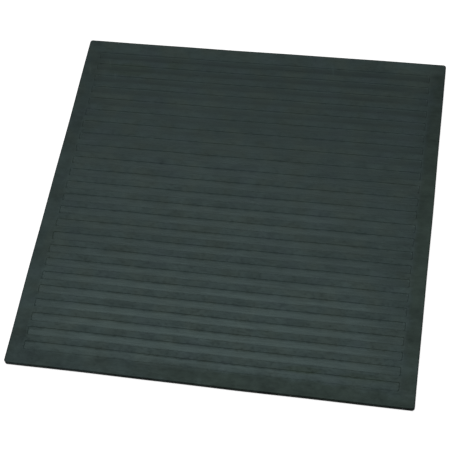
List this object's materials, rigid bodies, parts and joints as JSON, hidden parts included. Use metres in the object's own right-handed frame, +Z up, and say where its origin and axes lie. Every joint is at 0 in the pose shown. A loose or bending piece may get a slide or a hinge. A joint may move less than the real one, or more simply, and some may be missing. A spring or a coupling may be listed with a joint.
{
  "type": "electrical insulating mat",
  "caption": "Square moulded rubber floor mat for electrical insulation, with a flat border round a field of long parallel grooves, lying flat.",
  "frame": {"origin": "middle of the flat underside, which lies on the floor", "axes": "+X along the grooves, +Y across them, +Z up out of the grooved face"},
  "size_m": [0.5, 0.5, 0.006],
  "materials": {
    "rubber": "matt dark green-grey moulded rubber, slightly glossier on the groove floors"
  },
  "bodies": {
    "root": {"insulating_mat": "rubber"}
  },
  "joints": []
}
